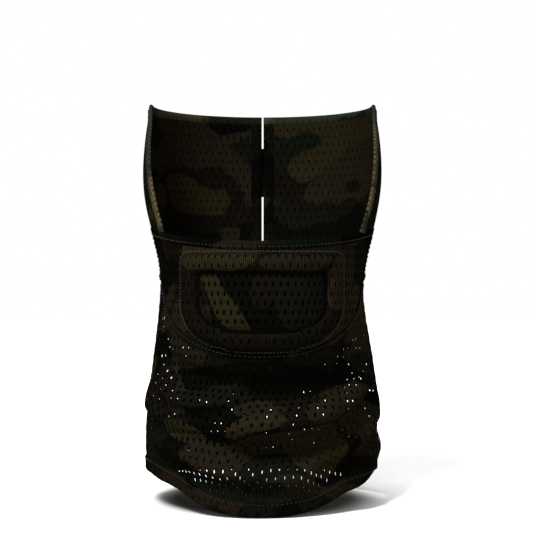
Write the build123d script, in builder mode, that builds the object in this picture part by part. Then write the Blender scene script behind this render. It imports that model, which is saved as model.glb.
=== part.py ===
"""Camo half face mask in the shape it has when worn.

Millimetres. The wearer faces -Y, their left is +X and +Z is up. The origin is the centre of the head,
midway between the ear canals. Every fabric piece is a layer of one body form, which is a loft of
egg-shaped sections around the head and neck. A piece is the form's wall between two depths, cut to
its outline. Depths are measured outwards from the face that touches the wearer.
"""

import os

from build123d import *

# ---------------------------------------------------------------- driving dimensions
# The form's sections: height, half width, depth in front of the ears, depth behind them.
SECTIONS = [
    (84, 76, 92, 93),
    (30, 84, 107, 97),
    (-5, 81, 113, 89),
    (-50, 71.5, 113, 71),
    (-90, 75, 106, 64),
    (-130, 79.5, 90, 65),
    (-175, 81.5, 89, 70),
    (-222, 80, 92, 74),
]
REACH = 160  # how far cutting outlines run past the form

CLOTH = 0.8  # one layer of eyelet mesh with its knit loft
DOUBLE = 1.6  # two layers
HEM = 2.4  # a folded hem or a felled seam
FOAM = 4.4  # foam under the frame round the mouth window
THREAD = 0.5  # height of a row of stitching over the cloth
THREAD_WIDTH = 1.4

# Side view (Y, Z): the face panel's top edge, its rear edge and its lower edge.
NOSE_REAR, NOSE_FRONT = (-21, -16.7), (-130, -29)
PANEL_REAR_LOW = (-21, -50)
PANEL_LOWER = [PANEL_REAR_LOW, (-68, -88), (-90, -101), (-104, -108), (-135, -117)]
NOSE_HEM_WIDTH = 6
SEAM_WIDTH = 4

# Front view (X, Z): the mouth window and the padded frame round it.
WINDOW_TOP, WINDOW_LOW, WINDOW_HALF, WINDOW_CORNER = -47, -88, 42, 17
FRAME_TOP, FRAME_LOW, FRAME_HALF, FRAME_CORNER = -36, -99, 52, 27
BASE_BOW, TOP_CORNER = 3, 4
FRAME_STITCH_GAP = 1.2

# Side view (Y, Z): the front edge of the ear panels, their top edge and the seam under them.
EAR_FRONT = [(-64, -60), (-58, -20.9), (-46, 20), (-36, 48), (-24, 66), (-8, 72)]
BAND_TOP = 72
NAPE_SEAM_REAR = (REACH, -30)
EDGE_HEM_WIDTH = 6
SLIT_HALF, SLIT_HEM_WIDTH = 3, 6

# Side view (Y, Z): the drape's lower edge, pointed in front and shallower behind.
HEM_LINE = [
    (REACH, -192),
    (74, -190),
    (30, -186),
    (0, -184),
    (-34, -191.5),
    (-60, -200),
    (-80, -207.5),
    (-REACH, -232),
]
DRAPE_HEM_WIDTH = 10
HEM_STITCH_RISE = 7.5
SIDE_SEAM_Y = 6
BACK_SEAM_HALF = 2.5

# The closure behind the head: a strap sewn to the left ear panel, which crosses the slit and
# presses onto loop tape on the right one. Widths are along X, heights along Z.
STRAP_LOW, STRAP_HIGH = 10, 48
STRAP_TIP, STRAP_ROOT, ANCHOR_END = -54, 18, 40
LOOP_SPAN, HOOK_SPAN = (-56, -11), (-45, -13)
TAPE = 0.9  # hook tape or loop tape
GAP = 0.4  # between hook and loop, and round the strap's root
TAPE_MARGIN = 2.5
BOX_INSET = 2  # the anchor's box stitch, in from its edges
LOOP_OUT = DOUBLE + TAPE
HOOK_IN = LOOP_OUT + GAP
STRAP_IN = HOOK_IN + TAPE
STRAP_OUT = STRAP_IN + DOUBLE
ANCHOR_OUT = 2 * DOUBLE

# Every depth at which one layer ends and another begins.
FOAM_OUT = CLOTH + FOAM
CLOTH_DEPTHS = (0, CLOTH, DOUBLE, DOUBLE + THREAD, HEM, HEM + THREAD, FOAM_OUT, FOAM_OUT + CLOTH)
CLOSURE_DEPTHS = (LOOP_OUT, HOOK_IN, STRAP_IN, STRAP_OUT, ANCHOR_OUT, ANCHOR_OUT + THREAD)

ALL = (-2 * REACH, 2 * REACH)  # both ways past the form
parts = {}


def keep(builder, name):
    """Labels a finished piece and remembers it for export."""
    builder.part.label = name
    parts[name] = builder.part


# ---------------------------------------------------------------- the form and its layers
def form(depth):
    """The solid form, grown by depth."""
    with BuildPart() as solid:
        for height, half_width, front, back in SECTIONS:
            with BuildSketch(Plane.XY.offset(height)):
                with BuildLine():
                    for reach, start in ((front, 180), (back, 0)):
                        EllipticalCenterArc(
                            (0, 0), half_width + depth, reach + depth, start_angle=start, arc_size=180
                        )
                make_face()
        loft()
    return solid.part


forms = {depth: form(depth) for depth in (*CLOTH_DEPTHS, *CLOSURE_DEPTHS)}


def wall(inner, outer):
    """The form's wall between two depths."""
    with BuildPart() as shell:
        add(forms[outer])
        add(forms[inner], mode=Mode.SUBTRACT)
    return shell.part


inner_cloth = wall(0, CLOTH)
outer_cloth = wall(CLOTH, DOUBLE)
both_cloths = wall(0, DOUBLE)
folded_hem = wall(0, HEM)
on_cloth = wall(DOUBLE, DOUBLE + THREAD)
on_hem = wall(HEM, HEM + THREAD)
foam_layer = wall(CLOTH, FOAM_OUT)
covered_foam = wall(CLOTH, FOAM_OUT + CLOTH)


def across(outline, mode):
    """Cuts with a side-view outline, right through the mask."""
    extrude(outline, amount=REACH, both=True, mode=mode)


def forward(outline, mode):
    """Cuts with a front-view outline, through the front half alone."""
    extrude(outline, amount=REACH, mode=mode)


def block(x, y, z, mode):
    """Cuts with a plain block given by its limits along each axis."""
    with Locations(((x[0] + x[1]) / 2, (y[0] + y[1]) / 2, (z[0] + z[1]) / 2)):
        Box(x[1] - x[0], y[1] - y[0], z[1] - z[0], mode=mode)


# ---------------------------------------------------------------- side-view outlines
def closed_polygon(*points):
    """A straight-sided side-view outline."""
    with BuildSketch(Plane.YZ) as outline:
        with BuildLine():
            Polyline(*points, close=True)
        make_face()
    return outline.sketch


def shifted(points, distance):
    """Points moved sideways, to the right of the way that they run."""
    ends = [points[0], *points, points[-1]]
    moved = []
    for before, here, after in zip(ends, points, ends[2:]):
        way = (Vector(*after) - Vector(*before)).normalized()
        moved.append((here[0] + way.Y * distance, here[1] - way.X * distance))
    return moved


def panel_outline(inset):
    """The face panel, from its nose edge to its lower edge, with the rear and lower edges set in."""
    lower = shifted(PANEL_LOWER, inset)
    rear_edge = PANEL_REAR_LOW[0] - inset
    lower[0] = (rear_edge, PANEL_REAR_LOW[1])
    with BuildSketch(Plane.YZ) as outline:
        with BuildLine():
            Polyline(lower[0], (rear_edge, NOSE_REAR[1]), NOSE_FRONT, lower[-1])
            Spline(*lower)
        make_face()
    return outline.sketch


def below_nose(top, low):
    """A strip along the nose edge, between two distances below it."""
    (rear_y, rear_z), (front_y, front_z) = NOSE_REAR, NOSE_FRONT
    return closed_polygon(
        (rear_y, rear_z - top), (front_y, front_z - top), (front_y, front_z - low), (rear_y, rear_z - low)
    )


def ear_outline(inset):
    """The ear panels' front and top edges, set in. It runs on below, where the neighbours cut it."""
    front = shifted(EAR_FRONT, inset)
    with BuildSketch(Plane.YZ) as outline:
        with BuildLine():
            Spline(*front)
            Polyline(front[-1], (REACH, BAND_TOP - inset), (REACH, front[0][1]), front[0])
        make_face()
    return outline.sketch


def above_hem(rise):
    """All that lies above the hem line, raised by rise."""
    line = [(y, z + rise) for y, z in HEM_LINE]
    with BuildSketch(Plane.YZ) as outline:
        with BuildLine():
            Spline(*line)
            Polyline(line[-1], (-REACH, REACH), (REACH, REACH), line[0])
        make_face()
    return outline.sketch


def tub_outline(top, low, half, corner):
    """Front view of a tub: square above, with round lower corners and a slightly bowed base."""
    with BuildSketch(Plane.XZ) as outline:
        with BuildLine():
            Polyline((-half, low + BASE_BOW), (-half, top), (half, top), (half, low + BASE_BOW))
            ThreePointArc((-half, low + BASE_BOW), (0, low), (half, low + BASE_BOW))
        make_face()
        fillet(outline.vertices().group_by(Axis.Z)[0], corner)
        fillet(outline.vertices().group_by(Axis.Z)[-1], TOP_CORNER)
    return outline.sketch


panel = panel_outline(0)
panel_inner = panel_outline(SEAM_WIDTH)
nose_strip = below_nose(0, NOSE_HEM_WIDTH)
nose_zone = below_nose(-REACH, NOSE_HEM_WIDTH)
nose_row = below_nose(NOSE_HEM_WIDTH - 2 * THREAD_WIDTH, NOSE_HEM_WIDTH - THREAD_WIDTH)
(nape_y, nape_z), (back_y, back_z) = PANEL_REAR_LOW, NAPE_SEAM_REAR
above_nape = closed_polygon(
    NOSE_REAR, (nape_y, nape_z), (back_y, back_z), (back_y, REACH), (-REACH, REACH), NOSE_FRONT
)
nape_strip = closed_polygon(
    (nape_y, nape_z), (back_y, back_z), (back_y, back_z - SEAM_WIDTH), (nape_y, nape_z - SEAM_WIDTH)
)
ear = ear_outline(0)
ear_inner = ear_outline(EDGE_HEM_WIDTH)
ear_row_outer = ear_outline(EDGE_HEM_WIDTH - 2 * THREAD_WIDTH)
ear_row_inner = ear_outline(EDGE_HEM_WIDTH - THREAD_WIDTH)
window = tub_outline(WINDOW_TOP, WINDOW_LOW, WINDOW_HALF, WINDOW_CORNER)
frame = tub_outline(FRAME_TOP, FRAME_LOW, FRAME_HALF, FRAME_CORNER)
window_edge = offset(window, -CLOTH)
frame_edge = offset(frame, CLOTH)
stitch_inner = offset(frame, FRAME_STITCH_GAP)
stitch_outer = offset(frame, FRAME_STITCH_GAP + THREAD_WIDTH)

# ---------------------------------------------------------------- face panel
with BuildPart() as face_liner:
    add(inner_cloth)
    across(panel_inner, Mode.INTERSECT)
    across(nose_zone, Mode.SUBTRACT)
keep(face_liner, "face_liner")

with BuildPart() as foam_frame:
    add(foam_layer)
    forward(frame, Mode.INTERSECT)
    forward(window, Mode.SUBTRACT)
keep(foam_frame, "foam_frame")

with BuildPart() as frame_cover:
    add(covered_foam)
    forward(frame_edge, Mode.INTERSECT)
    forward(window_edge, Mode.SUBTRACT)
    add(parts["foam_frame"], mode=Mode.SUBTRACT)
keep(frame_cover, "frame_cover")

with BuildPart() as window_mesh:
    add(outer_cloth)
    forward(window_edge, Mode.INTERSECT)
keep(window_mesh, "window_mesh")

with BuildPart() as face_panel:
    add(outer_cloth)
    across(panel_inner, Mode.INTERSECT)
    across(nose_zone, Mode.SUBTRACT)
    forward(frame_edge, Mode.SUBTRACT)
keep(face_panel, "face_panel")

with BuildPart() as nose_hem:
    add(folded_hem)
    across(nose_strip, Mode.INTERSECT)
keep(nose_hem, "nose_hem")

with BuildPart() as panel_seam:
    add(folded_hem)
    across(panel, Mode.INTERSECT)
    across(panel_inner, Mode.SUBTRACT)
    across(nose_zone, Mode.SUBTRACT)
keep(panel_seam, "panel_seam")

with BuildPart() as frame_stitching:
    add(on_cloth)
    forward(stitch_outer, Mode.INTERSECT)
    forward(stitch_inner, Mode.SUBTRACT)
    across(panel_inner, Mode.INTERSECT)
    across(nose_zone, Mode.SUBTRACT)
keep(frame_stitching, "frame_stitching")

with BuildPart() as nose_stitching:
    add(on_hem)
    across(nose_row, Mode.INTERSECT)
keep(nose_stitching, "nose_stitching")

# ---------------------------------------------------------------- ear panels, up to the slit behind
for side, sign in (("left", 1), ("right", -1)):
    x_side = sorted((sign * SLIT_HALF, sign * REACH))
    x_past_hem = sorted((sign * (SLIT_HALF + SLIT_HEM_WIDTH), sign * REACH))
    x_slit_hem = sorted((sign * SLIT_HALF, sign * (SLIT_HALF + SLIT_HEM_WIDTH)))

    with BuildPart() as ear_panel:
        add(both_cloths)
        across(ear_inner, Mode.INTERSECT)
        across(above_nape, Mode.INTERSECT)
        block(x_past_hem, ALL, ALL, Mode.INTERSECT)
    keep(ear_panel, f"{side}_ear_panel")

    with BuildPart() as edge_hem:
        add(folded_hem)
        across(ear, Mode.INTERSECT)
        across(ear_inner, Mode.SUBTRACT)
        across(above_nape, Mode.INTERSECT)
        block(x_side, ALL, ALL, Mode.INTERSECT)
    keep(edge_hem, f"{side}_edge_hem")

    with BuildPart() as edge_stitching:
        add(on_hem)
        across(ear_row_outer, Mode.INTERSECT)
        across(ear_row_inner, Mode.SUBTRACT)
        across(above_nape, Mode.INTERSECT)
        block(x_side, ALL, ALL, Mode.INTERSECT)
    keep(edge_stitching, f"{side}_edge_stitching")

    with BuildPart() as slit_hem:
        add(folded_hem)
        across(ear_inner, Mode.INTERSECT)
        across(above_nape, Mode.INTERSECT)
        block(x_slit_hem, (0, REACH), ALL, Mode.INTERSECT)
    keep(slit_hem, f"{side}_slit_hem")

with BuildPart() as nape_seam:
    add(folded_hem)
    across(nape_strip, Mode.INTERSECT)
    across(panel, Mode.SUBTRACT)
keep(nape_seam, "nape_seam")

# ---------------------------------------------------------------- closure behind the head
tape_heights = (STRAP_LOW + TAPE_MARGIN, STRAP_HIGH - TAPE_MARGIN)
strap_heights = (STRAP_LOW, STRAP_HIGH)
behind = (0, REACH)
loop_wall = wall(DOUBLE, LOOP_OUT)
hook_wall = wall(HOOK_IN, STRAP_IN)
strap_wall = wall(STRAP_IN, STRAP_OUT)
anchor_wall = wall(DOUBLE, ANCHOR_OUT)
on_anchor = wall(ANCHOR_OUT, ANCHOR_OUT + THREAD)

with BuildPart() as loop_tape:
    add(loop_wall)
    block(LOOP_SPAN, behind, tape_heights, Mode.INTERSECT)
keep(loop_tape, "loop_tape")

with BuildPart() as strap_anchor:
    add(anchor_wall)
    block((STRAP_ROOT + GAP, ANCHOR_END), behind, strap_heights, Mode.INTERSECT)
keep(strap_anchor, "strap_anchor")

with BuildPart() as closure_strap:
    add(strap_wall)
    block((STRAP_TIP, STRAP_ROOT), behind, strap_heights, Mode.INTERSECT)
keep(closure_strap, "closure_strap")

with BuildPart() as hook_tape:
    add(hook_wall)
    block(HOOK_SPAN, behind, tape_heights, Mode.INTERSECT)
keep(hook_tape, "hook_tape")

with BuildPart() as strap_stitching:
    add(on_anchor)
    for inset, mode in ((BOX_INSET, Mode.INTERSECT), (BOX_INSET + THREAD_WIDTH, Mode.SUBTRACT)):
        block(
            (STRAP_ROOT + inset, ANCHOR_END - inset),
            behind,
            (STRAP_LOW + inset, STRAP_HIGH - inset),
            mode,
        )
keep(strap_stitching, "strap_stitching")

# ---------------------------------------------------------------- drape
drape_inner = above_hem(DRAPE_HEM_WIDTH)
drape_outer = above_hem(0)
row_low = above_hem(HEM_STITCH_RISE)
row_high = above_hem(HEM_STITCH_RISE + THREAD_WIDTH)
seam_low, seam_high = SIDE_SEAM_Y - SEAM_WIDTH / 2, SIDE_SEAM_Y + SEAM_WIDTH / 2


def drape_cuts():
    """Cuts a layer to the drape's cloth: below the face panel and the nape seam, above the hem."""
    across(drape_inner, Mode.INTERSECT)
    across(above_nape, Mode.SUBTRACT)
    across(nape_strip, Mode.SUBTRACT)
    across(panel, Mode.SUBTRACT)


with BuildPart() as drape_front:
    add(inner_cloth)
    drape_cuts()
    block(ALL, (-REACH, seam_low), ALL, Mode.INTERSECT)
keep(drape_front, "drape_front")

with BuildPart() as drape_back:
    add(inner_cloth)
    drape_cuts()
    block(ALL, (seam_high, REACH), ALL, Mode.INTERSECT)
    block((-BACK_SEAM_HALF, BACK_SEAM_HALF), ALL, ALL, Mode.SUBTRACT)
keep(drape_back, "drape_back")

with BuildPart() as back_seam:
    add(folded_hem)
    drape_cuts()
    block((-BACK_SEAM_HALF, BACK_SEAM_HALF), (seam_high, REACH), ALL, Mode.INTERSECT)
keep(back_seam, "back_seam")

for side, x_side in (("left", (0, REACH)), ("right", (-REACH, 0))):
    with BuildPart() as side_seam:
        add(folded_hem)
        drape_cuts()
        block(x_side, (seam_low, seam_high), ALL, Mode.INTERSECT)
    keep(side_seam, f"{side}_side_seam")

with BuildPart() as drape_hem:
    add(folded_hem)
    across(drape_outer, Mode.INTERSECT)
    across(drape_inner, Mode.SUBTRACT)
keep(drape_hem, "drape_hem")

with BuildPart() as hem_stitching:
    add(on_hem)
    across(row_low, Mode.INTERSECT)
    across(row_high, Mode.SUBTRACT)
keep(hem_stitching, "hem_stitching")

for name, piece in parts.items():
    print(name, len(piece.solids()), round(piece.volume, 1), piece.bounding_box().size)

os.makedirs("parts", exist_ok=True)
for name, piece in parts.items():
    export_step(piece, f"parts/{name}.step")
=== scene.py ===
"""Looks of the camo face mask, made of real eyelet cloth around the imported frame.

Every cloth piece is drawn flat first. u runs round the head from the front centre towards the wearer's
left, v runs up, both in millimetres, and a surface maps (u, v, depth) to a point in the frame's metres.
"""

import math

import bpy
import numpy as np
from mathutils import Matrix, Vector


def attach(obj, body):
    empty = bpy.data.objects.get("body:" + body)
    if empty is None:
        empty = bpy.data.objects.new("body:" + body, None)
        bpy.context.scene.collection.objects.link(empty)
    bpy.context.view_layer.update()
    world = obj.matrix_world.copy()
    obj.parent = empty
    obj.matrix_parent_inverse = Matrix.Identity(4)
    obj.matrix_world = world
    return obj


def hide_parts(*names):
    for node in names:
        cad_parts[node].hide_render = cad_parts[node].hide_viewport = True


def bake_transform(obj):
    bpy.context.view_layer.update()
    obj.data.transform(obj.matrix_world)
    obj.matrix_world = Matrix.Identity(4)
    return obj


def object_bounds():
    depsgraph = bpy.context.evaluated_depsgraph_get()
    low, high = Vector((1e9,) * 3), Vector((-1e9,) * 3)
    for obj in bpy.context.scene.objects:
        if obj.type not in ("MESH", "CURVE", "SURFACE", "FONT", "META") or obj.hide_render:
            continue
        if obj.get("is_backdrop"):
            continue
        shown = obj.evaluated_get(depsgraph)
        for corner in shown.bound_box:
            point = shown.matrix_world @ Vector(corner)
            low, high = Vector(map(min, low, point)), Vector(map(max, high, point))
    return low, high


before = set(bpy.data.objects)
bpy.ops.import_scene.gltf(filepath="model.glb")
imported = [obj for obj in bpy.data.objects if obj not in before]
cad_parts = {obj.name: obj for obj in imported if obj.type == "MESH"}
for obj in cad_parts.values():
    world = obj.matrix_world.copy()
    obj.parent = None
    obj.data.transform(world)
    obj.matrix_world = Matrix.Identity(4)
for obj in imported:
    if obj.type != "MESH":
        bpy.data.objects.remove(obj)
cad_low, cad_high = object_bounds()
MM = 0.001
rng = np.random.default_rng(7)

# ---- driving dimensions, in millimetres
# The form under the cloth: height, half width, depth in front of the ears, depth behind them.
SECTIONS = np.array([
    (-222, 80, 92, 74), (-175, 81.5, 89, 70), (-130, 79.5, 90, 65), (-90, 75, 106, 64),
    (-50, 71.5, 113, 71), (-5, 81, 113, 89), (30, 84, 107, 97), (84, 76, 92, 93),
], float)
REFERENCE = (78, 104, 80)  # the ellipse that u is measured on

DOUBLE, HEM = 1.6, 2.4  # thickness of double cloth, and of a folded hem
YARN = 0.55  # thickness of the knit between its eyelets
OUTER, LINER, LINING, SINGLE = 1.25, 0.4, 0.45, 0.4  # depths of the outer cloth, the liners and the drape
PITCH, ROW = 5.3, 6.2  # eyelet spacing along a row, and from row to row
EYELET = (0.60, 1.55)  # an eyelet's half width and half height
UNPIERCED = 3.1  # how far an eyelet's centre stays from the cloth's edge
OVERLAP = 1.5  # how far cloth runs under a hem
ON_HEM = HEM + 0.05  # depth of the thread on a hem

NOSE_REAR, NOSE_FRONT = (-21, -16.7), (-130, -29)
PANEL_REAR_LOW = (-21, -50)
PANEL_LOWER = [PANEL_REAR_LOW, (-68, -88), (-90, -101), (-104, -108), (-135, -117)]
NOSE_HEM, SEAM = 6, 4
HEM_ROW = 3.9  # how far the stitching of the nose and ear hems is from their edge
WINDOW = (-47, -88, 42, 17)  # top, low, half width, corner radius
FRAME = (-36, -99, 52, 27)
TUB_BOW, TUB_TOP_CORNER = 3, 4
EAR_FRONT = [(-64, -60), (-58, -20.9), (-46, 20), (-36, 48), (-24, 66), (-8, 72)]
BAND_TOP, EDGE_HEM = 72, 6
NAPE_END = (160, -30)  # the nape seam's line runs from the panel's rear corner towards this point
SLIT_HALF, SLIT_HEM, SLIT_LOW = 0.7, 8.3, -38
HEM_LINE = [(160, -192), (74, -190), (30, -186), (0, -184), (-34, -191.5), (-60, -200)]
HEM_LINE += [(-80, -207.5), (-160, -232)]
HEM_LIFT = (4.5, 66, 26)  # how far the hem rides up beside its point: height, u, spread
HEM_DROP = 9  # how far it hangs lower behind
DRAPE_HEM, DRAPE_ROW, SIDE_SEAM_Y, BACK_SEAM = 10, 8.2, 6, 5
SIDE_SIZE = 1.3  # how much wider the drape's eyelets are beside its side seams
STRAP_LOW, STRAP_HIGH = 10, 48
STRAP_TIP, STRAP_ROOT, ANCHOR_END = -54, 18, 40
LOOP_SPAN, HOOK_SPAN = (-11, -56), (-13, -45)
TAPE, GAP, TAPE_MARGIN = 0.9, 0.4, 2.5
STRAP_CLIMB = 2.2  # how far the strap climbs over the tapes
BOX_IN, TAPE_IN = 2.5, 1.5  # how far the stitching is inside the strap's and the hook tape's edges


# ---- curves and the form
def natural_spline(xs, ys):
    """A cubic through the points, with no curvature at its ends, as a function."""
    xs, ys = np.asarray(xs, float), np.asarray(ys, float)
    step, last = np.diff(xs), len(xs) - 1
    system, right = np.eye(last + 1), np.zeros(last + 1)
    for i in range(1, last):
        system[i, i - 1 : i + 2] = step[i - 1], 2 * (step[i - 1] + step[i]), step[i]
        right[i] = 6 * ((ys[i + 1] - ys[i]) / step[i] - (ys[i] - ys[i - 1]) / step[i - 1])
    bend = np.linalg.solve(system, right)

    def value(x):
        x = np.clip(x, xs[0], xs[-1])
        i = np.clip(np.searchsorted(xs, x) - 1, 0, last - 1)
        h, after, before = step[i], xs[i + 1] - x, x - xs[i]
        cubic = (bend[i] * after**3 + bend[i + 1] * before**3) / (6 * h)
        return cubic + (ys[i] / h - bend[i] * h / 6) * after + (ys[i + 1] / h - bend[i + 1] * h / 6) * before

    return value


def run_of(points):
    """Length along a line, at each of its points."""
    return np.concatenate([[0], np.cumsum(np.linalg.norm(np.diff(points, axis=0), axis=1))])


def between(a, b, share):
    return a * (1 - share) + b * share


def ramp(share):
    """0 to 1 with level ends."""
    share = np.clip(share, 0, 1)
    return share * share * (3 - 2 * share)


def curve_through(points):
    """Evenly sampled smooth curve through 2-D points."""
    points = np.asarray(points, float)
    along = run_of(points)
    at = np.linspace(0, along[-1], 200)
    return np.stack([natural_spline(along, points[:, k])(at) for k in (0, 1)], -1)


half_width, front_depth, back_depth = (natural_spline(SECTIONS[:, 0], SECTIONS[:, k]) for k in (1, 2, 3))

turns = np.linspace(0, math.pi, 1441)
turn_reach = np.where(turns < math.pi / 2, REFERENCE[1], REFERENCE[2])
turn_run = run_of(np.stack([REFERENCE[0] * np.sin(turns), turn_reach * np.cos(turns)], -1))
HALF_ROUND = turn_run[-1]  # u at the back centre


def wrapped(u, low=1.0):
    """u between low half rounds to the wearer's right of the front and a whole round on from there."""
    return np.mod(np.asarray(u, float) + HALF_ROUND * low, 2 * HALF_ROUND) - HALF_ROUND * low


def turn_of(u):
    """Angle round the head for u, which wraps at the back centre."""
    u = wrapped(u)
    return np.interp(np.abs(u), turn_run, turns) * np.sign(u)


def u_of_turn(turn):
    return np.interp(np.abs(turn), turns, turn_run) * np.sign(turn)


def on_form(u, z, depth):
    """Points on the form, grown by depth, in millimetres."""
    turn = turn_of(u)
    cosine = np.cos(turn)
    reach = np.where(cosine > 0, front_depth(z), back_depth(z)) + depth
    return np.stack(np.broadcast_arrays((half_width(z) + depth) * np.sin(turn), -reach * cosine, z), -1)


def u_at_side(y, z):
    """u on the wearer's left of a point given in side view."""
    reach = np.where(y < 0, front_depth(z), back_depth(z))
    return u_of_turn(np.arccos(np.clip(-y / reach, -1, 1)))


def u_at_front(x, z, behind=False):
    """u of a point given in front view, on the front or behind."""
    turn = np.arcsin(np.clip(x / half_width(z), -1, 1))
    return u_of_turn(math.pi - turn if behind else turn)


def side_curve(points):
    """A side-view line as (u, v) points on the wearer's left, cut off at the front and back centres.

    Two points give a straight line, and more points a smooth one.
    """
    line = curve_through(points) if len(points) > 2 else np.linspace(*points, 120)
    y, z = line[:, 0], line[:, 1]
    kept = (-y < front_depth(z)) & (y < back_depth(z))
    u = u_at_side(y, z)
    out = np.stack([u[kept], z[kept]], -1)
    for first, k in ((True, 0), (False, -1)):
        if not kept[k]:
            end = (HALF_ROUND if y[k] > 0 else 0.0, out[0 if first else -1, 1])
            out = np.vstack([[end], out] if first else [out, [end]])
    return out


def mirrored(line):
    return line[::-1] * (-1, 1)


def right_of(line, closed=False):
    """Unit steps to the right of the way that a line runs."""
    line = np.asarray(line, float)
    way = np.roll(line, -1, 0) - np.roll(line, 1, 0) if closed else np.gradient(line, axis=0)
    way /= np.linalg.norm(way, axis=1, keepdims=True) + 1e-12
    return np.stack([way[:, 1], -way[:, 0]], -1)


def shifted(line, distance):
    """A line moved sideways, to the right of the way that it runs."""
    return np.asarray(line, float) + right_of(line) * distance


# ---- surfaces
class Plain:
    """Cloth on the form, v being the height. ease lifts it unevenly, bulge pushes out its middle."""

    def __init__(self, ease=0.0, bulge=0.0):
        self.ease, self.bulge = ease, bulge

    def point(self, u, v, depth):
        u, v = np.asarray(u, float), np.asarray(v, float)
        wave = np.sin(u / 11.0 + 0.4 * np.sin(v / 17.0)) * np.sin(v / 13.0 + 0.7 * np.sin(u / 23.0) + 1.0)
        middle = np.clip(1 - (u / 46) ** 4 - ((v + 67) / 20) ** 4, 0, 1)
        return on_form(u, v, depth + self.ease * wave + self.bulge * middle) * MM


# Folds of the drape: start (u, z), end (u, z), sag in the middle, height, spread above and below the crest.
FOLDS = [
    ((-112, -100), (112, -100), 26, -6.0, 11, 9),
    ((-98, -112), (-4, -124), 16, 7.0, 9, 6),
    ((-134, -128), (70, -142), 16, 8.5, 13, 8),
    ((-36, -160), (118, -112), 5, 8.0, 14, 8),
    ((-132, -148), (50, -186), 9, 8.5, 15, 9),
    ((22, -174), (128, -138), 6, 7.0, 12, 7),
    ((60, -194), (132, -164), 3, 5.5, 10, 7),
    ((150, -104), (262, -128), 10, 5.5, 12, 6),
    ((232, -150), (372, -118), 14, 7.0, 13, 8),
    ((140, -140), (300, -168), 12, 7.0, 13, 8),
    ((300, -100), (400, -94), 12, 5.0, 11, 6),
]
SMOOTH_TOP = 16  # the folds grow from nothing over this much cloth below the seam
DRAPE_LOW = -228  # a height under all of the drape


def fold_depth(u, z, top):
    """How far the folds push the drape out, in millimetres."""
    u = wrapped(u, 0.62)
    total = 1.1 * np.sin(u / 24.0 + 2.2) * np.sin(z / 19.0 + u / 60.0)
    for (u0, z0), (u1, z1), sag, height, above, below in FOLDS:
        along = (u - u0) / (u1 - u0)
        crest = z0 + (z1 - z0) * along - 4 * sag * along * (1 - along)
        off = z - crest
        spread = np.where(off > 0, above, below)
        ends = ramp(np.minimum(along, 1 - along) * 5)
        crest_shape = np.exp(-(np.abs(off / spread) ** 2.6))
        valley = np.exp(-(((off + below * 2.1) / (below * 1.4)) ** 2))
        total = total + height * ends * (crest_shape - 0.5 * valley)
    return total * ramp((top - z) / SMOOTH_TOP) * np.clip((z + 224) / 30, 0.3, 1)


class Drape:
    """The neck drape. v is the height at its top seam, and from there it runs down along the folded cloth."""

    def __init__(self, top_line):
        self.columns = np.linspace(-HALF_ROUND, HALF_ROUND, 361)
        self.top = np.interp(np.abs(self.columns), top_line[:, 0], top_line[:, 1])
        self.z = np.linspace(0, 1, 400)[None, :] * (DRAPE_LOW - self.top[:, None]) + self.top[:, None]
        depth = fold_depth(self.columns[:, None], self.z, self.top[:, None])
        run = np.sqrt(np.diff(self.z, axis=1) ** 2 + np.diff(depth, axis=1) ** 2)
        self.length = np.concatenate([np.zeros((len(run), 1)), np.cumsum(run, axis=1)], axis=1)
        self.steps = np.linspace(0, self.length.max(), 400)
        self.table = np.stack([np.interp(self.steps, l, z) for l, z in zip(self.length, self.z)])

    def _column(self, u):
        at = (wrapped(u) + HALF_ROUND) / (2 * HALF_ROUND) * (len(self.columns) - 1)
        low = np.clip(at.astype(int), 0, len(self.columns) - 2)
        return low, at - low

    def seam_height(self, u):
        low, share = self._column(u)
        return between(self.top[low], self.top[low + 1], share)

    def flat_v(self, u, z):
        """The cloth's v where it passes height z."""
        u, z = np.broadcast_arrays(np.atleast_1d(np.asarray(u, float)), z)
        low, share = self._column(u)
        out = np.empty(u.shape)
        for k in range(len(u)):
            a, b = (np.interp(-z[k], -self.z[c], self.length[c]) for c in (low[k], low[k] + 1))
            out[k] = between(a, b, share[k])
        return self.seam_height(u) - out

    def point(self, u, v, depth):
        u, v = np.broadcast_arrays(np.asarray(u, float), np.asarray(v, float))
        low, share = self._column(u)
        top = self.seam_height(u)
        at = np.clip((top - v) / self.steps[-1], 0, 1) * (len(self.steps) - 1)
        row = np.clip(at.astype(int), 0, len(self.steps) - 2)
        first, second = (between(self.table[c, row], self.table[c, row + 1], at - row) for c in (low, low + 1))
        z = between(first, second, share) + np.maximum(v - top, 0)
        return on_form(u, z, depth + fold_depth(u, z, top)) * MM


# ---- flat outlines
def nearest_on(outline, points):
    """Signed distance from each point to a closed outline, inside positive, and the nearest point on it."""
    a, b = outline, np.roll(outline, -1, axis=0)
    side = b - a
    rel = points[:, None, :] - a[None]
    share = np.clip((rel * side).sum(-1) / np.maximum((side * side).sum(-1), 1e-12), 0, 1)
    near = a[None] + share[..., None] * side[None]
    gap = np.linalg.norm(points[:, None, :] - near, axis=-1)
    best = gap.argmin(1)
    rows = np.arange(len(points))
    crosses = (a[None, :, 1] > points[:, None, 1]) != (b[None, :, 1] > points[:, None, 1])
    with np.errstate(divide="ignore", invalid="ignore"):
        at = a[:, 0] + (points[:, None, 1] - a[:, 1]) * side[:, 0] / side[:, 1]
    inside = (crosses & (points[:, None, 0] < at)).sum(1) % 2 == 1
    return np.where(inside, gap[rows, best], -gap[rows, best]), near[rows, best]


def area_of(outline):
    x, y = np.asarray(outline).T
    return abs((x * np.roll(y, -1) - y * np.roll(x, -1)).sum()) / 2


def evenly(line, count):
    """A line drawn again with count points at equal steps along it."""
    run = run_of(line)
    at = np.linspace(0, run[-1], count)
    return np.stack([np.interp(at, run, line[:, k]) for k in (0, 1)], -1)


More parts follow.
